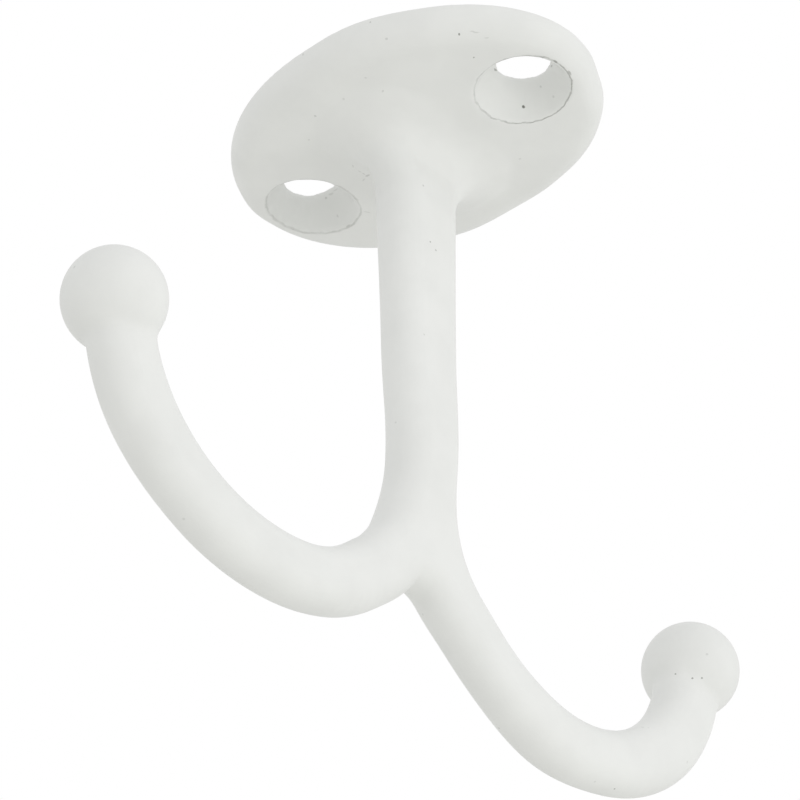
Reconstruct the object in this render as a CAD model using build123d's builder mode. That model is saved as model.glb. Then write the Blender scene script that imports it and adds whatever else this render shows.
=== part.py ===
from build123d import *
import math
import os

# Undershelf hook: a double hook, cast in one piece, that two countersunk screws hold up under a shelf.
#
# Frame: the origin is the centre of the plate's flat back, which meets the shelf, and +Z points up into it.
# The oval plate is long in Y, with its two screw holes on that axis, and the stem and both arms lie in the
# XZ plane. All lengths are in millimetres and all angles in degrees.

os.makedirs("parts", exist_ok=True)

# Mounting plate: an oval with a flat back, a slightly crowned face and a soft rim.
plate_length = 30.5
plate_width = 23.0
plate_thickness = 3.45
plate_crown_radius = 105
plate_rim_radius = 2.0
plate_back_break = 0.2

# Screw holes, cast with a steep sink for number 6 countersunk screws.
screw_spacing = 20.8
screw_hole_diameter = 4.0
screw_sink_diameter = 7.0
screw_sink_angle = 56

# Web: the stem and both arms as one flat shape, rounded to an oval section along every edge.
web_thickness = 3.9
web_edge_radius = 1.85
stem_top_width = 7.1
stem_bottom_width = 5.6
fork_depth = 32.0

# Flare: how far the stem spreads over the plate, in the plane of the arms and across it.
flare_reach_along = 5.0
flare_reach_across = 3.0
flare_last_angle = 75
flare_steps = 6
flare_start_sink = 0.05
flare_foot_sink = 0.1
flare_foot_growth = 0.8

# Arms, as turns of a tangent middle line: away from the stem, down, round the cradle and up to the ball.
# The cradle's upper edge is a little tighter, so that each arm grows thicker towards its ball.
arm_width = 4.8
shoulder_radius = 17.8
shoulder_turn = 20
elbow_radius = 10.2
elbow_turn = 30
arm_straight = 2.0
cradle_radius = 15.3
cradle_turn = 86
cradle_tightening = 0.2
tip_radius = 11.9
tip_turn = 31
tip_straight = 3.0
crotch_radius = 1.4

# Balls that keep what hangs on the arms from sliding off.
ball_diameter = 7.3
ball_neck_radius = 1.0

stem_root_depth = plate_thickness / 2
screw_offset = screw_spacing / 2
crown_drop = plate_crown_radius - math.sqrt(plate_crown_radius**2 - screw_offset**2)


def stem_width_at(depth):
    """Width of the stem in the plane of the arms, at a depth under the plate's back."""
    share = (depth - plate_thickness) / (fork_depth - plate_thickness)
    return stem_top_width + share * (stem_bottom_width - stem_top_width)


def flare_growth(reach, depth):
    """How far a quarter round of this reach stands out from the stem, at a depth under the plate's face.

    It starts just inside the stem, so that the two surfaces cross and never lie on each other.
    """
    rise = max(0, 1 - depth / reach)
    return reach * (1 - math.sqrt(1 - rise**2)) - flare_start_sink


def arm_start(out):
    """Where one edge of the right arm leaves the stem, this far out from the arm's middle line."""
    return ((stem_bottom_width - arm_width) / 2 - out, -fork_depth)


def arm_edge(out, tightening):
    """Draws one edge of the right arm, this far out from its middle line, and gives the edge's last piece."""
    shoulder = JernArc(arm_start(out), (0, -1), shoulder_radius + out, shoulder_turn)
    elbow = JernArc(shoulder @ 1, shoulder % 1, elbow_radius + out, elbow_turn)
    reach = Line(elbow @ 1, elbow @ 1 + (elbow % 1) * arm_straight)
    cradle = JernArc(reach @ 1, reach % 1, cradle_radius + out - tightening, cradle_turn)
    tip = JernArc(cradle @ 1, cradle % 1, tip_radius + out, tip_turn)
    return Line(tip @ 1, tip @ 1 + (tip % 1) * tip_straight)


# Plate
with BuildPart() as plate:
    with BuildSketch(Plane.XY.offset(-plate_thickness)):
        Ellipse(plate_width / 2, plate_length / 2)
    extrude(amount=plate_thickness)
    with Locations((0, 0, plate_crown_radius - plate_thickness)):
        # The sphere's poles are turned to the side, clear of the plate, so that its face is one clean surface.
        Sphere(plate_crown_radius, rotation=(90, 0, 0), mode=Mode.INTERSECT)
    fillet(plate.faces().sort_by(Axis.Z)[0].edges(), radius=plate_rim_radius)
    chamfer(plate.faces().sort_by(Axis.Z)[-1].edges(), length=plate_back_break)

# Web
with BuildPart() as web:
    with BuildSketch(Plane.XZ) as outline:
        with BuildLine():
            lower = arm_edge(arm_width / 2, 0)
            upper = arm_edge(-arm_width / 2, cradle_tightening)
            Line(lower @ 1, upper @ 1)
            Line(arm_start(arm_width / 2), arm_start(-arm_width / 2))
        make_face()
        mirror(about=Plane.YZ)
        with BuildLine():
            Polyline(
                (-stem_width_at(stem_root_depth) / 2, -stem_root_depth),
                (stem_width_at(stem_root_depth) / 2, -stem_root_depth),
                (stem_bottom_width / 2, -fork_depth),
                (-stem_bottom_width / 2, -fork_depth),
                close=True,
            )
        make_face()
        on_axis = outline.vertices().filter_by(lambda corner: abs(corner.X) < 0.01)
        fillet(on_axis.sort_by(Axis.Y)[0], radius=crotch_radius)
    extrude(amount=web_thickness / 2, both=True)
    fillet(web.faces().filter_by(Axis.Y).edges(), radius=web_edge_radius)
    ball_centre = lower @ 1 + (lower % 1).rotate(Axis.Z, 90) * arm_width / 2
    with Locations((ball_centre.X, 0, ball_centre.Y), (-ball_centre.X, 0, ball_centre.Y)):
        Sphere(ball_diameter / 2)
    fillet(web.edges(Select.NEW), radius=ball_neck_radius)

# Flare, from the stem's own section up to a wide foot in the plate
with BuildPart() as flare:
    for step in range(flare_steps + 1):
        angle = math.radians(flare_last_angle * step / flare_steps)
        depth = flare_reach_along * (1 - math.sin(angle))
        growth_along = flare_growth(flare_reach_along, depth)
        growth_across = flare_growth(flare_reach_across, depth)
        with BuildSketch(Plane.XY.offset(-plate_thickness - depth)):
            RectangleRounded(
                stem_width_at(plate_thickness + depth) + 2 * growth_along,
                web_thickness + 2 * growth_across,
                web_edge_radius + growth_across,
            )
    with BuildSketch(Plane.XY.offset(flare_foot_sink - plate_thickness)):
        RectangleRounded(
            stem_width_at(plate_thickness) + 2 * (growth_along + flare_foot_growth),
            web_thickness + 2 * (growth_across + flare_foot_growth),
            web_edge_radius + growth_across + flare_foot_growth,
        )
    loft()

# Hook: everything fused into one casting, with its screw holes
with BuildPart() as hook:
    add(plate.part)
    add(web.part)
    add(flare.part)
    for side in (-1, 1):
        mouth = Plane(origin=(0, side * screw_offset, crown_drop - plate_thickness), z_dir=(0, 0, -1))
        with Locations(mouth):
            CounterSinkHole(
                screw_hole_diameter / 2,
                screw_sink_diameter / 2,
                depth=plate_thickness,
                counter_sink_angle=screw_sink_angle,
            )

hook.part.label = "undershelf_hook"
export_step(hook.part, "parts/undershelf_hook.step")
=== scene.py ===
"""Undershelf hook: a white-coated casting with an oval plate, a flared stem and two ball-ended arms."""

import logging
from dataclasses import dataclass, field
from enum import Enum
from math import radians

import bpy
from mathutils import Euler, Matrix, Vector
from mathutils.bvhtree import BVHTree


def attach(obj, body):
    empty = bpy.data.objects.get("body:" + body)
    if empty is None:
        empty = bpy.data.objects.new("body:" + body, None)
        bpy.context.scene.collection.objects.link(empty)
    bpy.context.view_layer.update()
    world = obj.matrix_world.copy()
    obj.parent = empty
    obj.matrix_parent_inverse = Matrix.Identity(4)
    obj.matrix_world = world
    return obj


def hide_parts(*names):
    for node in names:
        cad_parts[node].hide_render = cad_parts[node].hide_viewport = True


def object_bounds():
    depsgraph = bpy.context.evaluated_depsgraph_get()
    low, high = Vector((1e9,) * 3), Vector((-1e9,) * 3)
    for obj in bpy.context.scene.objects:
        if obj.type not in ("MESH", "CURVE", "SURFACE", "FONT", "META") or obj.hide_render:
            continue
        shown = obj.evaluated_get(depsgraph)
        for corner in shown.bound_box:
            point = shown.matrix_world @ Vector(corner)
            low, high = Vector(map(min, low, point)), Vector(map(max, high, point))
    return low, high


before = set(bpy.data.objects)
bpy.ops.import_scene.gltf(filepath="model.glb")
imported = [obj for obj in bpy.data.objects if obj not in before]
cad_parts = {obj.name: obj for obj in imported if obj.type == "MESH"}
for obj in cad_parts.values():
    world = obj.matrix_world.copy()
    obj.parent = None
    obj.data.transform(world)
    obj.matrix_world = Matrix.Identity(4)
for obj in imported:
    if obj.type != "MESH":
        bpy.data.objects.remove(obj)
CAD_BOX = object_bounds()

LOG = logging.getLogger("undershelf_hook")

MM = 0.001
NODE = "undershelf_hook"

Tree = bpy.types.NodeTree
Socket = bpy.types.NodeSocket
Point = tuple[float, float, float]
Span = tuple[float, float]


class Ray(Enum):
    """Kinds of ray that see the white backdrop, as Light Path names them."""

    CAMERA = "Is Camera Ray"
    GLOSSY = "Is Glossy Ray"
    TRANSMISSION = "Is Transmission Ray"


def linear(hex_colour: str) -> tuple[float, float, float, float]:
    """Turns an sRGB hex colour into linear values.

    Args:
        hex_colour: Six hex digits, such as "DEDFDB".

    Returns:
        Red, green, blue and an alpha of 1.
    """
    channels = [int(hex_colour[i : i + 2], 16) / 255 for i in (0, 2, 4)]
    red, green, blue = (c / 12.92 if c <= 0.04045 else ((c + 0.055) / 1.055) ** 2.4 for c in channels)
    return red, green, blue, 1.0


def add_node(tree: Tree, kind: str, inputs: dict | None = None, **settings: object) -> bpy.types.Node:
    """Adds a node, sets it up and links what feeds it.

    Args:
        tree: The node tree to add to.
        kind: Blender's name for the node type.
        inputs: Socket name or number to a value, or to the output socket that feeds it.
        settings: Attributes of the node itself, such as operation="ADD".

    Returns:
        The new node.
    """
    node = tree.nodes.new(kind)
    for name, value in settings.items():
        setattr(node, name, value)
    for name, value in (inputs or {}).items():
        if isinstance(value, Socket):
            tree.links.new(value, node.inputs[name])
        else:
            node.inputs[name].default_value = value
    return node


@dataclass(frozen=True)
class Mark:
    """A dark soft oval from one end to the other, right through the enamel: most are pits and scuffs, and a
    few are painted shadow.

    Lengths are in millimetres. The weight says how dark it is inside its core, up to 1.
    """

    start: Point
    end: Point
    radius: float
    weight: float
    depth: float = 0.5
    core: float = 0.45

    @classmethod
    def pit(cls, place: Point, radius: float, weight: float) -> "Mark":
        """Gives a round mark."""
        return cls(place, place, radius, weight)

    def mapping(self, skin: BVHTree) -> dict[str, Vector | Euler]:
        """Works out how the oval lies on the casting.

        Args:
            skin: The casting's surface, in metres.

        Returns:
            Inputs of a Mapping node that turns the oval into a ball of radius 1, for points in millimetres.
        """
        start, end = Vector(self.start), Vector(self.end)
        middle = (start + end) / 2
        up = skin.find_nearest(middle * MM)[1]
        along = (end - start).cross(up).cross(-up) if start != end else up.orthogonal()
        along.normalize()
        turn = Matrix((along, up.cross(along), up)).transposed()
        half_length = max((end - start).length / 2, self.radius)
        return {
            "Location": middle,
            "Rotation": turn.to_euler(),
            "Scale": Vector((half_length, self.radius, self.depth)),
        }

    def build(self, tree: Tree, place: Socket, skin: BVHTree) -> Socket:
        """Draws the mark.

        Args:
            tree: The material's node tree.
            place: The point in millimetres, as a vector output.
            skin: The casting's surface, in metres.

        Returns:
            An output that is the mark's weight in its core and 0 outside the mark.
        """
        local = add_node(
            tree, "ShaderNodeMapping", {"Vector": place, **self.mapping(skin)}, vector_type="TEXTURE"
        ).outputs[0]
        out = add_node(tree, "ShaderNodeVectorMath", {0: local}, operation="LENGTH").outputs["Value"]
        return add_node(
            tree,
            "ShaderNodeMapRange",
            {"Value": out, "From Min": 1.0, "From Max": self.core, "To Max": self.weight},
            interpolation_type="SMOOTHSTEP",
        ).outputs["Result"]


@dataclass(frozen=True)
class ScrewSinks:
    """The two countersunk screw holes as the casting came out, with a dark line along their sharp lower
    edges.

    Lengths are in millimetres. The holes lie at the offset to both sides of the middle. The drift is how
    far both sinks have moved, and the slope is how much wider a sink gets for each millimetre of depth.
    """

    hole_offset: float = 10.4
    hole_radius: float = 2.05
    hole_land: float = 0.113
    slope: float = 0.532
    mouth_radius: float = 3.56
    drift: Point = (0.08, -0.09, 0.0)
    crown_radius: float = 105.0
    plate_thickness: float = 3.45
    edge_depth: float = 1.0

    def add_outward(self, tree: Tree, folded: Socket) -> Socket:
        """Finds how far a point lies outside the wall of the sink that is nearest to it.

        Args:
            tree: The material's node tree.
            folded: The point in millimetres with all its signs dropped, as a vector output.

        Returns:
            An output that is 0 on the wall, above 0 in the metal and below 0 in the hollow.
        """
        from_hole = add_node(
            tree, "ShaderNodeVectorMath", {0: folded, 1: (0, self.hole_offset, 0)}, operation="SUBTRACT"
        ).outputs[0]
        level = add_node(
            tree, "ShaderNodeVectorMath", {0: from_hole, 1: (1, 1, 0)}, operation="MULTIPLY"
        ).outputs[0]
        from_axis = add_node(
            tree, "ShaderNodeVectorMath", {0: level}, operation="LENGTH"
        ).outputs["Value"]
        depth = add_node(tree, "ShaderNodeSeparateXYZ", {0: folded}).outputs["Z"]
        cone = add_node(
            tree,
            "ShaderNodeMath",
            {0: depth, 1: self.slope, 2: self.hole_radius - self.hole_land * self.slope},
            operation="MULTIPLY_ADD",
        ).outputs[0]
        wall = add_node(
            tree, "ShaderNodeMath", {0: cone, 1: self.mouth_radius}, operation="MINIMUM"
        ).outputs[0]
        return add_node(tree, "ShaderNodeMath", {0: from_axis, 1: wall}, operation="SUBTRACT").outputs[0]

    def add_inward(self, tree: Tree, place: Socket, folded: Socket) -> Socket:
        """Finds how far a point lies inside the plate's crowned lower face.

        Args:
            tree: The material's node tree.
            place: The point in millimetres, as a vector output.
            folded: The same point with all its signs dropped.

        Returns:
            An output that is 0 on the face and grows into the plate.
        """
        flat = add_node(
            tree, "ShaderNodeVectorMath", {0: place, 1: (1, 1, 0)}, operation="MULTIPLY"
        ).outputs[0]
        spread = add_node(
            tree, "ShaderNodeVectorMath", {0: flat, 1: flat}, operation="DOT_PRODUCT"
        ).outputs["Value"]
        face = add_node(
            tree,
            "ShaderNodeMath",
            {0: spread, 1: -0.5 / self.crown_radius, 2: self.plate_thickness},
            operation="MULTIPLY_ADD",
        ).outputs[0]
        depth = add_node(tree, "ShaderNodeSeparateXYZ", {0: folded}).outputs["Z"]
        return add_node(tree, "ShaderNodeMath", {0: face, 1: depth}, operation="SUBTRACT").outputs[0]

    def build(self, tree: Tree, place: Socket) -> Socket:
        """Finds how far a point lies from the sharp edge where a sink cuts the plate's face.

        Args:
            tree: The material's node tree.
            place: The point in millimetres, as a vector output.

        Returns:
            An output that is 0 on the edge and grows away from it, and deep in the plate it is never small.
        """
        place = add_node(
            tree, "ShaderNodeVectorMath", {0: place, 1: self.drift}, operation="SUBTRACT"
        ).outputs[0]
        folded = add_node(tree, "ShaderNodeVectorMath", {0: place}, operation="ABSOLUTE").outputs[0]
        outward = self.add_outward(tree, folded)
        inward = self.add_inward(tree, place, folded)
        across = add_node(tree, "ShaderNodeMath", {0: outward, 1: inward}, operation="SUBTRACT").outputs[0]
        distance = add_node(tree, "ShaderNodeMath", {0: across}, operation="ABSOLUTE").outputs[0]
        too_deep = add_node(
            tree, "ShaderNodeMath", {0: inward, 1: self.edge_depth}, operation="SUBTRACT"
        ).outputs[0]
        return add_node(tree, "ShaderNodeMath", {0: distance, 1: too_deep}, operation="MAXIMUM").outputs[0]


@dataclass(frozen=True)
class SinkEdgeLine:
    """The ragged dark line round each sink's edge: thin and dark to one side, wide and faint to the other.

    Lengths are in millimetres. Each span goes from the faint side to the heavy side, where the heavy
    reach is how far out that side counts in full. The patches make the line weaker in places.
    """

    sinks: ScrewSinks = ScrewSinks()
    widths: Span = (0.16, 0.09)
    weights: Span = (0.27, 0.58)
    heavy_side: Point = (1.0, -0.3, 0.0)
    heavy_reach: float = 5.0
    core: float = 0.3
    patch_scale: float = 1.3
    patch_span: Span = (0.35, 0.65)
    patch_least: float = 0.45

    def build(self, tree: Tree, place: Socket) -> Socket:
        """Draws the dark lines.

        Args:
            tree: The material's node tree.
            place: The point in millimetres, as a vector output.

        Returns:
            An output that is above 0 on the dark lines.
        """
        along = add_node(
            tree, "ShaderNodeVectorMath", {0: place, 1: self.heavy_side}, operation="DOT_PRODUCT"
        ).outputs["Value"]
        width, weight = (
            add_node(
                tree,
                "ShaderNodeMapRange",
                {"Value": along, "From Max": self.heavy_reach, "To Min": faint, "To Max": heavy},
            ).outputs["Result"]
            for faint, heavy in (self.widths, self.weights)
        )
        patchy = add_node(
            tree,
            "ShaderNodeTexNoise",
            {"Vector": place, "Scale": self.patch_scale, "Detail": 3.0, "Roughness": 0.7},
        ).outputs["Fac"]
        low, high = self.patch_span
        share = add_node(
            tree,
            "ShaderNodeMapRange",
            {"Value": patchy, "From Min": low, "From Max": high, "To Min": self.patch_least},
        ).outputs["Result"]
        edge = self.sinks.build(tree, place)
        reach = add_node(tree, "ShaderNodeMath", {0: edge, 1: width}, operation="DIVIDE").outputs[0]
        line = add_node(
            tree, "ShaderNodeMapRange", {"Value": reach, "From Min": 1.0, "From Max": self.core}
        ).outputs["Result"]
        depth = add_node(tree, "ShaderNodeMath", {0: weight, 1: share}, operation="MULTIPLY").outputs[0]
        return add_node(tree, "ShaderNodeMath", {0: line, 1: depth}, operation="MULTIPLY").outputs[0]


@dataclass(frozen=True)
class CoatedZinc:
    """White satin enamel on a zinc die casting: pale, even and softly glossy, with dark pits, scuffs and
    sink-edge lines, and a few strokes of painted shadow.

    Lengths are in millimetres.
    """

    coat: str = "E4E5E3"
    coat_thin: str = "E0E1DF"
    # Dark colour of the pits, scuffs and sink-edge lines, also used for painted shadow.
    grime_and_shade: str = "5A5B52"
    roughness: Span = (0.5, 0.62)
    specular: float = 0.12
    mottle_size: float = 4.0
    mottle_span: Span = (0.35, 0.7)
    peel_size: float = 0.45
    peel_height: float = 0.0012
    ragged_scale: float = 1.6
    raggedness: float = 0.3
    sink_edge_line: SinkEdgeLine = SinkEdgeLine()
    marks: tuple[Mark, ...] = (
        # Plate.
        Mark.pit((-7.3, -10.5, -2.4), 0.11, 0.75),
        Mark.pit((-5.1, -10.0, -2.8), 0.09, 0.6),
        Mark.pit((-10.8, -5.2, -0.6), 0.1, 0.38),
        Mark.pit((-7.0, -3.0, -3.3), 0.13, 0.2),
        Mark.pit((-8.0, 2.7, -3.1), 0.14, 0.24),
        Mark.pit((-11.5, 0.8, -0.5), 0.13, 0.21),
        Mark.pit((-8.2, -0.2, -3.2), 0.13, 0.13),
        Mark.pit((-10.1, -6.1, -2.1), 0.12, 0.2),
        Mark.pit((-8.8, -2.8, -3.0), 0.12, 0.15),
        Mark.pit((5.7, -5.3, -3.1), 0.12, 0.15),
        Mark.pit((-6.3, 4.9, -3.1), 0.12, 0.15),
        Mark((-7.0, -11.1, -2.2), (-6.3, -11.7, -2.3), 0.07, 0.2),
        Mark((-6.0, -11.7, -2.4), (-5.6, -12.0, -2.4), 0.07, 0.15),
        Mark((-2.4, 4.0, -3.6), (-2.0, 4.3, -3.5), 0.08, 0.15),
        Mark((-1.6, 4.3, -3.5), (-1.2, 4.2, -3.5), 0.11, 0.16),
        Mark((-1.2, 4.2, -3.5), (-0.8, 4.2, -3.5), 0.11, 0.2),
        Mark((-0.6, 4.4, -3.4), (-0.8, 3.7, -3.7), 0.14, 0.25),
        Mark((-0.2, 5.0, -3.3), (-0.4, 4.5, -3.4), 0.08, 0.15),
        Mark((2.7, 7.6, -3.1), (3.2, 7.1, -3.1), 0.08, 0.15),
        # Sink at the lower Y end.
        Mark.pit((2.4, -8.5, -2.0), 0.14, 0.85),
        Mark.pit((2.4, -10.1, -0.9), 0.12, 0.2),
        Mark.pit((3.0, -10.8, -1.9), 0.14, 0.16),
        Mark((-0.8, -13.8, -2.5), (-0.1, -13.9, -2.4), 0.12, 0.6),
        Mark((0.8, -13.9, -2.4), (1.5, -13.7, -2.5), 0.1, 0.4),
        Mark((-1.1, -8.5, -0.4), (-0.4, -8.3, -0.2), 0.1, 0.5),
        Mark((1.7, -11.6, -0.3), (1.5, -12.0, -0.5), 0.09, 0.4),
        # Sink at the higher Y end.
        # The first three marks are painted shadow under the lip at this hole's edge.
        Mark((2.0, 10.8, -0.5), (2.1, 10.5, -0.6), 0.1, 0.2),
        Mark((2.0, 10.4, -0.5), (2.0, 9.8, -0.5), 0.09, 0.15),
        Mark((2.0, 9.9, -0.4), (1.9, 9.3, -0.5), 0.08, 0.14),
        Mark((2.0, 7.9, -2.1), (2.2, 7.9, -2.3), 0.09, 0.2),
        Mark((2.9, 10.3, -1.8), (3.1, 10.3, -2.1), 0.09, 0.15),
        Mark((3.6, 10.1, -2.9), (3.5, 9.4, -2.9), 0.12, 0.3),
        # Stem.
        Mark.pit((-0.7, -1.9, -12.9), 0.1, 0.5),
        Mark.pit((-0.1, -1.9, -13.3), 0.1, 0.38),
        Mark.pit((-1.4, -1.9, -8.1), 0.13, 0.27),
        Mark.pit((-1.5, -1.9, -21.7), 0.09, 0.25),
        Mark.pit((-2.7, -0.2, -29.2), 0.12, 0.15),
        # Left arm and ball.
        Mark.pit((-34.0, 0.3, -33.3), 0.14, 0.18),
        Mark.pit((-23.5, 0.1, -47.9), 0.13, 0.15),
        # Right arm and ball.
        Mark.pit((27.4, -1.0, -36.1), 0.11, 0.55),
        Mark.pit((28.3, -1.9, -36.5), 0.11, 0.6),
        Mark.pit((28.9, -2.3, -36.3), 0.1, 0.55),
        Mark.pit((28.6, -3.1, -34.7), 0.13, 0.16),
        Mark.pit((20.2, -0.5, -48.9), 0.11, 0.65),
        Mark.pit((9.5, 1.1, -48.1), 0.12, 0.2),
        Mark.pit((1.5, 1.1, -42.6), 0.12, 0.14),
        Mark.pit((23.1, -1.0, -42.6), 0.14, 0.18),
        Mark.pit((27.4, -1.7, -43.9), 0.12, 0.16),
        Mark.pit((17.9, -0.5, -49.3), 0.12, 0.15),
        Mark.pit((23.5, -1.3, -42.6), 0.12, 0.15),
    )

    def add_ragged(self, tree: Tree, place: Socket) -> Socket:
        """Shifts points a little this way and that, so that what is drawn there gets a ragged outline.

        Args:
            tree: The material's node tree.
            place: The point in millimetres, as a vector output.

        Returns:
            The shifted point.
        """
        ragged = add_node(
            tree, "ShaderNodeTexNoise", {"Vector": place, "Scale": self.ragged_scale, "Detail": 2.0}
        ).outputs["Color"]
        centred = add_node(
            tree, "ShaderNodeVectorMath", {0: ragged, 1: (0.5, 0.5, 0.5)}, operation="SUBTRACT"
        ).outputs[0]
        return add_node(
            tree,
            "ShaderNodeVectorMath",
            {0: centred, 1: (self.raggedness,) * 3, 2: place},
            operation="MULTIPLY_ADD",
        ).outputs[0]

    def add_dirt_and_shade(self, tree: Tree, place: Socket, skin: BVHTree) -> Socket:
        """Gathers the dark lines along the sinks' edges and all the marks: pits, scuffs and painted shadow.

        Args:
            tree: The material's node tree.
            place: The point in millimetres, as a vector output.
            skin: The casting's surface, in metres.

        Returns:
            An output that is 0 on clean enamel and near 1 in the darkest pit.
        """
        dirt_and_shade = self.sink_edge_line.build(tree, place)
        for mark in self.marks:
            spot = mark.build(tree, place, skin)
            dirt_and_shade = add_node(tree, "ShaderNodeMath", {0: dirt_and_shade, 1: spot}, operation="MAXIMUM").outputs[0]
        return dirt_and_shade

    def build(self, skin: BVHTree) -> bpy.types.Material:
        """Builds the material.

        Args:
            skin: The casting's surface, in metres.

        Returns:
            The finished material, in Object coordinates.
        """
        material = bpy.data.materials.new("white_coated_zinc")
        material.use_nodes = True
        tree = material.node_tree
        tree.nodes.clear()
        here = add_node(tree, "ShaderNodeTexCoord").outputs["Object"]
        place = add_node(tree, "ShaderNodeMapping", {"Vector": here, "Scale": (1 / MM,) * 3}).outputs[0]

        # The enamel is a little thinner in places, which the eye sees as very soft grey clouds.
        mottle = add_node(
            tree, "ShaderNodeTexNoise", {"Vector": place, "Scale": 1 / self.mottle_size, "Detail": 3.0}
        ).outputs["Fac"]
        low, high = self.mottle_span
        thin = add_node(
            tree, "ShaderNodeMapRange", {"Value": mottle, "From Min": low, "From Max": high}
        ).outputs["Result"]
        coat = add_node(
            tree,
            "ShaderNodeMix",
            {"Factor": thin, 6: linear(self.coat), 7: linear(self.coat_thin)},
            data_type="RGBA",
        ).outputs[2]

        # A dark line along each sink's sharp edge, a few pits and scuffs, and painted shadow under the lip
        # at one hole, all with ragged outlines.
        dirt_and_shade = self.add_dirt_and_shade(tree, self.add_ragged(tree, place), skin)
        colour = add_node(
            tree,
            "ShaderNodeMix",
            {"Factor": dirt_and_shade, 6: coat, 7: linear(self.grime_and_shade)},
            data_type="RGBA",
        ).outputs[2]

        # The sprayed enamel dried with a fine orange peel, which breaks up its soft gloss.
        peel = add_node(
            tree, "ShaderNodeTexNoise", {"Vector": place, "Scale": 1 / self.peel_size, "Detail": 2.0}
        ).outputs["Fac"]
        bump = add_node(
            tree, "ShaderNodeBump", {"Height": peel, "Distance": self.peel_height * MM, "Strength": 1.0}
        ).outputs["Normal"]
        smoothest, roughest = self.roughness
        gloss = add_node(
            tree, "ShaderNodeMapRange", {"Value": mottle, "To Min": smoothest, "To Max": roughest}
        ).outputs["Result"]
        surface = add_node(
            tree,
            "ShaderNodeBsdfPrincipled",
            {
                "Base Color": colour,
                "Roughness": gloss,
                "Normal": bump,
                "IOR": 1.5,
                "Specular IOR Level": self.specular,
            },
        )
        add_node(tree, "ShaderNodeOutputMaterial", {"Surface": surface.outputs[0]})
        return material


@dataclass(frozen=True)
class Bend:
    """A place where the casting isn't quite true: it has moved by this much, and swelled by this much.

    Lengths are in millimetres. The effect fades out smoothly at the reach.
    """

    place: Point
    shift: Point
    swell: float = 0.0
    reach: float = 9.0


@dataclass(frozen=True)
class Blend:
    """A place where two forms run together without a line, as an oval in millimetres with a full core."""

    place: Point
    size: Point
    core: float = 0.7


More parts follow.
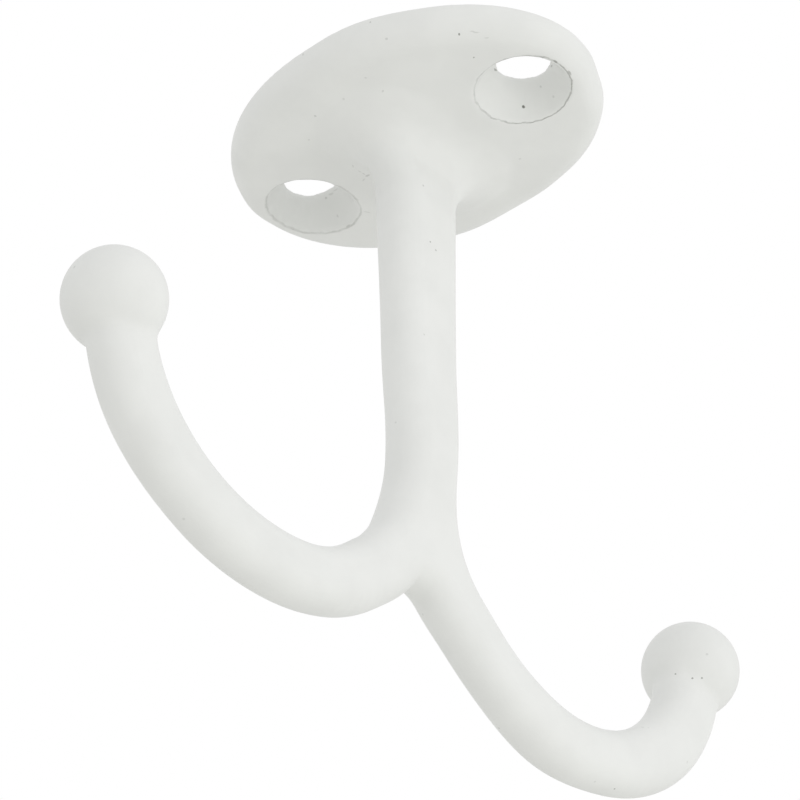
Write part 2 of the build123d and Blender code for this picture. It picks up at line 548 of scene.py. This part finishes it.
@dataclass
class HookCasting:
    """The whole hook as one casting, with the soft edges, slight lumps and slight bends of its cast skin.

    Lengths are in millimetres.
    """

    finish: CoatedZinc = field(default_factory=CoatedZinc)
    weld_gap: float = 0.002
    skin_grain: float = 0.16
    smoothing: int = 3
    blending: int = 22
    thinning: float = 0.55
    lump_size: float = 6.0
    lump_height: float = 0.03
    lump_seed: float = 3.0
    blends: tuple[Blend, ...] = (
        # The flare's foot on the plate, and the corner between the stem and the left arm.
        Blend((0.0, 0.0, -3.45), (9.6, 6.4, 2.6)),
        Blend((-4.9, 0.0, -39.3), (2.6, 2.6, 2.6)),
    )
    bends: tuple[Bend, ...] = (
        # Plate's rim.
        Bend((4.8, -13.9, -1.7), (-0.1, 0.2, 0.0), reach=3.0),
        Bend((7.0, -12.0, -1.7), (0.15, -0.15, 0.0), reach=5.0),
        Bend((8.9, -8.4, -2.2), (0.25, -0.1, 0.0), reach=4.5),
        Bend((2.5, -15.0, -1.7), (-0.05, 0.1, 0.0), reach=5.0),
        Bend((10.5, -0.5, -2.0), (-0.25, 0.0, 0.0), reach=4.5),
        Bend((-11.0, -4.0, -0.8), (-0.25, 0.0, 0.0), reach=5.5),
        Bend((-1.8, 15.0, -2.2), (0.0, 0.0, -0.2), reach=2.5),
        # Flare.
        Bend((0.0, -4.2, -4.6), (0.0, 0.0, 0.0), 0.1, reach=2.6),
        Bend((4.6, -2.2, -4.8), (0.0, 0.0, 0.0), 0.1, reach=2.6),
        # Sinks and holes.
        Bend((2.3, -13.2, -2.6), (0.15, -0.15, 0.0), reach=3.5),
        Bend((2.6, 7.9, -3.1), (0.1, -0.1, 0.0), reach=3.0),
        Bend((2.0, 10.4, -0.1), (-0.25, -0.25, 0.0), reach=1.8),
        Bend((-1.4, -9.0, -0.1), (0.1, -0.1, 0.0), reach=1.8),
        # Stem, from the plate to the fork.
        Bend((0.0, 0.0, -17.0), (0.05, -0.05, 0.0), -0.05),
        Bend((0.0, 0.0, -24.0), (0.05, -0.05, 0.0)),
        Bend((0.0, 0.0, -30.0), (0.2, -0.2, 0.0)),
        Bend((0.0, 0.0, -32.0), (0.1, -0.1, 0.0), reach=5.0),
        Bend((0.0, 0.0, -36.0), (-0.2, 0.25, -0.1), 0.05),
        # Right arm, from the fork to the ball.
        Bend((5.0, 0.0, -42.5), (-0.3, 0.2, 0.1)),
        Bend((8.0, 0.0, -45.0), (0.05, -0.1, 0.05), -0.15),
        Bend((12.0, 0.0, -46.5), (0.15, 0.25, -0.15), 0.05),
        Bend((19.0, 0.0, -46.5), (-0.15, 0.1, 0.05), -0.1),
        Bend((25.5, 0.0, -43.0), (-0.15, 0.15, 0.05), 0.1),
        Bend((30.3, 0.0, -39.5), (-0.05, 0.0, 0.05)),
        Bend((30.3, 0.0, -34.5), (-0.05, -0.15, 0.2), 0.05),
        # Left arm, from the fork to the ball.
        Bend((-4.9, 0.0, -39.3), (0.0, 0.0, 0.0), 0.1, reach=3.0),
        Bend((-5.0, 0.0, -42.5), (-0.2, 0.2, 0.05), 0.1),
        Bend((-13.0, 0.0, -46.5), (0.1, -0.1, 0.0), -0.05),
        Bend((-21.0, 0.0, -46.0), (-0.15, 0.05, 0.1), -0.05),
        Bend((-28.0, 0.0, -41.0), (0.05, 0.1, -0.15), 0.05),
        Bend((-31.0, 0.0, -34.0), (0.0, 0.0, 0.0), -0.05),
    )

    def blank(self) -> bpy.types.Object:
        """Copies the CAD solid's surface into a new object, merged into one closed skin of even faces.

        Returns:
            The new object, in place.
        """
        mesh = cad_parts[NODE].data.copy()
        mesh.materials.clear()
        piece = bpy.data.objects.new("hook_casting", mesh)
        bpy.context.scene.collection.objects.link(piece)
        weld = piece.modifiers.new("weld", "WELD")
        weld.merge_threshold = self.weld_gap * MM
        skin = piece.modifiers.new("skin", "REMESH")
        skin.mode = "VOXEL"
        skin.voxel_size = self.skin_grain * MM
        skin.use_smooth_shade = True
        return piece

    def add_bends(self, tree: Tree, position: Socket) -> tuple[Socket, ...]:
        """Adds up what all the bends do to a point.

        Args:
            tree: The Geometry Nodes tree.
            position: The point, as a vector output in metres.

        Returns:
            Outputs for the point's shift and for its swelling along the normal, both in metres.
        """
        shift, swell = (0.0, 0.0, 0.0), 0.0
        for bend in self.bends:
            centre = tuple(axis * MM for axis in bend.place)
            away = add_node(
                tree, "ShaderNodeVectorMath", {0: position, 1: centre}, operation="DISTANCE"
            ).outputs["Value"]
            share = add_node(
                tree,
                "ShaderNodeMapRange",
                {"Value": away, "From Min": bend.reach * MM, "From Max": 0.0},
                interpolation_type="SMOOTHSTEP",
            ).outputs["Result"]
            move = add_node(
                tree,
                "ShaderNodeVectorMath",
                {0: tuple(axis * MM for axis in bend.shift), "Scale": share},
                operation="SCALE",
            ).outputs[0]
            shift = add_node(tree, "ShaderNodeVectorMath", {0: move, 1: shift}, operation="ADD").outputs[0]
            swell = add_node(
                tree, "ShaderNodeMath", {0: share, 1: bend.swell * MM, 2: swell}, operation="MULTIPLY_ADD"
            ).outputs[0]
        return shift, swell

    def add_blends(self, tree: Tree, position: Socket) -> Socket:
        """Finds how much further the skin is smoothed at a point, so that forms run together there.

        Args:
            tree: The Geometry Nodes tree.
            position: The point, as a vector output in metres.

        Returns:
            An output that is 1 inside the blends and 0 away from them.
        """
        most = 0.0
        for blend in self.blends:
            centre, size = (tuple(axis * MM for axis in vector) for vector in (blend.place, blend.size))
            beside = add_node(
                tree, "ShaderNodeVectorMath", {0: position, 1: centre}, operation="SUBTRACT"
            ).outputs[0]
            local = add_node(
                tree, "ShaderNodeVectorMath", {0: beside, 1: size}, operation="DIVIDE"
            ).outputs[0]
            away = add_node(tree, "ShaderNodeVectorMath", {0: local}, operation="LENGTH").outputs["Value"]
            share = add_node(
                tree,
                "ShaderNodeMapRange",
                {"Value": away, "From Min": 1.0, "From Max": blend.core},
                interpolation_type="SMOOTHSTEP",
            ).outputs["Result"]
            most = add_node(tree, "ShaderNodeMath", {0: share, 1: most}, operation="MAXIMUM").outputs[0]
        return most

    def skin_tree(self, material: bpy.types.Material) -> Tree:
        """Builds the Geometry Nodes that soften the skin, sink its hollows and bend it.

        Args:
            material: The finish to set on every face.

        Returns:
            The node tree, with its sizes as named inputs.
        """
        tree = bpy.data.node_groups.new("cast_skin", "GeometryNodeTree")
        new = tree.interface.new_socket
        new("Geometry", in_out="INPUT", socket_type="NodeSocketGeometry")
        new("Geometry", in_out="OUTPUT", socket_type="NodeSocketGeometry")
        for name, kind, value in (
            ("Smoothing", "NodeSocketInt", self.smoothing),
            ("Blending", "NodeSocketInt", self.blending),
            ("Lump Size", "NodeSocketFloat", self.lump_size * MM),
            ("Lump Height", "NodeSocketFloat", self.lump_height * MM),
            ("Seed", "NodeSocketFloat", self.lump_seed),
        ):
            new(name, in_out="INPUT", socket_type=kind).default_value = value
        given = add_node(tree, "NodeGroupInput").outputs
        position = add_node(tree, "GeometryNodeInputPosition").outputs[0]
        softened = add_node(
            tree,
            "GeometryNodeBlurAttribute",
            {"Value": position, "Iterations": given["Smoothing"]},
            data_type="FLOAT_VECTOR",
        )
        soft = add_node(
            tree,
            "GeometryNodeSetPosition",
            {"Geometry": given["Geometry"], "Position": softened.outputs[0]},
        ).outputs[0]
        blended = add_node(
            tree,
            "GeometryNodeBlurAttribute",
            {"Value": position, "Iterations": given["Blending"], "Weight": self.add_blends(tree, position)},
            data_type="FLOAT_VECTOR",
        )
        soft = add_node(
            tree, "GeometryNodeSetPosition", {"Geometry": soft, "Position": blended.outputs[0]}
        ).outputs[0]
        per_lump = add_node(
            tree, "ShaderNodeMath", {0: 1.0, 1: given["Lump Size"]}, operation="DIVIDE"
        ).outputs[0]
        noise = add_node(
            tree,
            "ShaderNodeTexNoise",
            {"Vector": position, "W": given["Seed"], "Scale": per_lump, "Detail": 2.0, "Roughness": 0.4},
            noise_dimensions="4D",
        ).outputs["Fac"]
        hollow = add_node(
            tree, "ShaderNodeMath", {0: noise, 1: given["Lump Height"]}, operation="MULTIPLY"
        ).outputs[0]
        shift, swell = self.add_bends(tree, position)
        outward = add_node(tree, "ShaderNodeMath", {0: swell, 1: hollow}, operation="SUBTRACT").outputs[0]
        normal = add_node(tree, "GeometryNodeInputNormal").outputs[0]
        push = add_node(
            tree, "ShaderNodeVectorMath", {0: normal, "Scale": outward}, operation="SCALE"
        ).outputs[0]
        offset = add_node(tree, "ShaderNodeVectorMath", {0: push, 1: shift}, operation="ADD").outputs[0]
        cast = add_node(tree, "GeometryNodeSetPosition", {"Geometry": soft, "Offset": offset}).outputs[0]
        real = add_node(tree, "GeometryNodeRealizeInstances", {"Geometry": cast}).outputs[0]
        coated = add_node(
            tree, "GeometryNodeSetMaterial", {"Geometry": real, "Material": material}
        ).outputs[0]
        add_node(tree, "NodeGroupOutput", {"Geometry": coated})
        return tree

    def build(self) -> bpy.types.Object:
        """Makes the casting's mesh and sets it in the frame.

        Returns:
            The finished piece, a plain mesh that replaces the CAD solid.
        """
        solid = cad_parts[NODE].data
        surface = BVHTree.FromPolygons(
            [vertex.co for vertex in solid.vertices], [polygon.vertices for polygon in solid.polygons]
        )
        material = self.finish.build(surface)
        piece = self.blank()
        skin = piece.modifiers.new("cast_skin", "NODES")
        skin.node_group = self.skin_tree(material)
        thin = piece.modifiers.new("thin", "DECIMATE")
        thin.ratio = self.thinning
        view_layer = bpy.context.evaluated_depsgraph_get()
        mesh = bpy.data.meshes.new_from_object(piece.evaluated_get(view_layer))
        piece.modifiers.clear()
        rough, piece.data = piece.data, mesh
        bpy.data.meshes.remove(rough)
        mesh.name = piece.name
        mesh.materials.clear()
        mesh.materials.append(material)
        mesh.polygons.foreach_set("use_smooth", [True] * len(mesh.polygons))
        mesh.update()
        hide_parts(NODE)
        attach(piece, "root")
        return piece


@dataclass(frozen=True)
class SoftBox:
    """A large square studio lamp, aimed at the middle of the hook. Lengths are in metres."""

    name: str
    towards: Point
    distance: float
    width: float
    watts: float

    def build(self, target: Vector) -> bpy.types.Object:
        """Makes the lamp, unseen by the camera.

        Args:
            target: The point that it faces.

        Returns:
            The lamp.
        """
        lamp = bpy.data.lights.new(self.name, "AREA")
        lamp.shape = "SQUARE"
        lamp.size = self.width
        lamp.energy = self.watts
        holder = bpy.data.objects.new(self.name, lamp)
        bpy.context.scene.collection.objects.link(holder)
        away = Vector(self.towards).normalized()
        holder.location = target + away * self.distance
        holder.rotation_mode = "QUATERNION"
        holder.rotation_quaternion = away.to_track_quat("Z", "Y")
        holder.visible_camera = False
        return holder


@dataclass
class Studio:
    """A pale floor far below the hanging hook, a white backdrop, soft lamps and the camera.

    Lengths are in metres, but the lens and its sensor are in millimetres, and angles are in degrees.
    """

    floor_depth: float = 0.6
    floor_width: float = 5.0
    floor_paint: str = "EFEFEC"
    floor_roughness: float = 0.9
    white: str = "FFFFFF"
    fill: float = 0.932
    lamps: tuple[SoftBox, ...] = (
        SoftBox("front_softbox", (0.15, -1.0, -0.15), 1.1, 0.9, 1.02),
        SoftBox("low_softbox", (0.1, -0.8, -0.6), 1.1, 0.9, 4.05),
    )
    camera_place: Point = (-0.193167, -0.164287, -0.209401)
    camera_azimuth: float = -49.326
    camera_elevation: float = -35.923
    camera_roll: float = -0.59
    lens: float = 198.85
    sensor: float = 36.0
    sight: Span = (0.01, 20.0)

    def build_floor(self) -> bpy.types.Object:
        """Makes the plain matt floor.

        Returns:
            The floor, which is not part of the object.
        """
        half = self.floor_width / 2
        mesh = bpy.data.meshes.new("floor")
        corners = [(x * half, y * half, -self.floor_depth) for x, y in ((-1, -1), (1, -1), (1, 1), (-1, 1))]
        mesh.from_pydata(corners, [], [(0, 1, 2, 3)])
        floor = bpy.data.objects.new("floor", mesh)
        bpy.context.scene.collection.objects.link(floor)
        paint = bpy.data.materials.new("matt_floor_paint")
        paint.use_nodes = True
        surface = paint.node_tree.nodes["Principled BSDF"]
        surface.inputs["Base Color"].default_value = linear(self.floor_paint)
        surface.inputs["Roughness"].default_value = self.floor_roughness
        mesh.materials.append(paint)
        return floor

    def build_world(self) -> bpy.types.World:
        """Makes the even sky of a light tent, with a white backdrop for what looks straight at it.

        Returns:
            The world.
        """
        world = bpy.data.worlds.new("light_tent")
        bpy.context.scene.world = world
        world.use_nodes = True
        tree = world.node_tree
        tree.nodes.clear()
        path = add_node(tree, "ShaderNodeLightPath").outputs
        seen = path[Ray.CAMERA.value]
        for ray in (Ray.GLOSSY, Ray.TRANSMISSION):
            seen = add_node(
                tree, "ShaderNodeMath", {0: seen, 1: path[ray.value]}, operation="MAXIMUM"
            ).outputs[0]
        tent, backdrop = (
            add_node(
                tree, "ShaderNodeBackground", {"Color": linear(self.white), "Strength": strength}
            ).outputs[0]
            for strength in (self.fill, 1.0)
        )
        both = add_node(tree, "ShaderNodeMixShader", {0: seen, 1: tent, 2: backdrop}).outputs[0]
        add_node(tree, "ShaderNodeOutputWorld", {"Surface": both})
        return world

    def build_camera(self) -> bpy.types.Object:
        """Makes the camera, which looks up at the hook from below one end of the plate.

        Returns:
            The camera, set as the scene's own.
        """
        lens = bpy.data.cameras.new("camera")
        lens.lens = self.lens
        lens.sensor_width = self.sensor
        lens.clip_start, lens.clip_end = self.sight
        camera = bpy.data.objects.new("camera", lens)
        bpy.context.scene.collection.objects.link(camera)
        turn = (
            Matrix.Rotation(radians(self.camera_azimuth), 3, "Z")
            @ Matrix.Rotation(radians(90 - self.camera_elevation), 3, "X")
            @ Matrix.Rotation(radians(self.camera_roll), 3, "Z")
        )
        camera.location = self.camera_place
        camera.rotation_mode = "QUATERNION"
        camera.rotation_quaternion = turn.to_quaternion()
        bpy.context.scene.camera = camera
        return camera

    def build(self, target: Vector) -> None:
        """Builds the whole studio around a point.

        Args:
            target: The point that the lamps face.
        """
        self.build_floor()
        self.build_world()
        for lamp in self.lamps:
            lamp.build(target)
        self.build_camera()
        bpy.context.scene.view_settings.view_transform = "Standard"


def main() -> None:
    """Builds the studio and the hook, and reports what was made."""
    logging.basicConfig(level=logging.INFO, format="%(name)s: %(message)s")
    low, high = CAD_BOX
    Studio().build((low + high) / 2)
    piece = HookCasting().build()
    LOG.info("%s has %d faces", piece.name, len(piece.data.polygons))


if __name__ == "__main__":
    main()
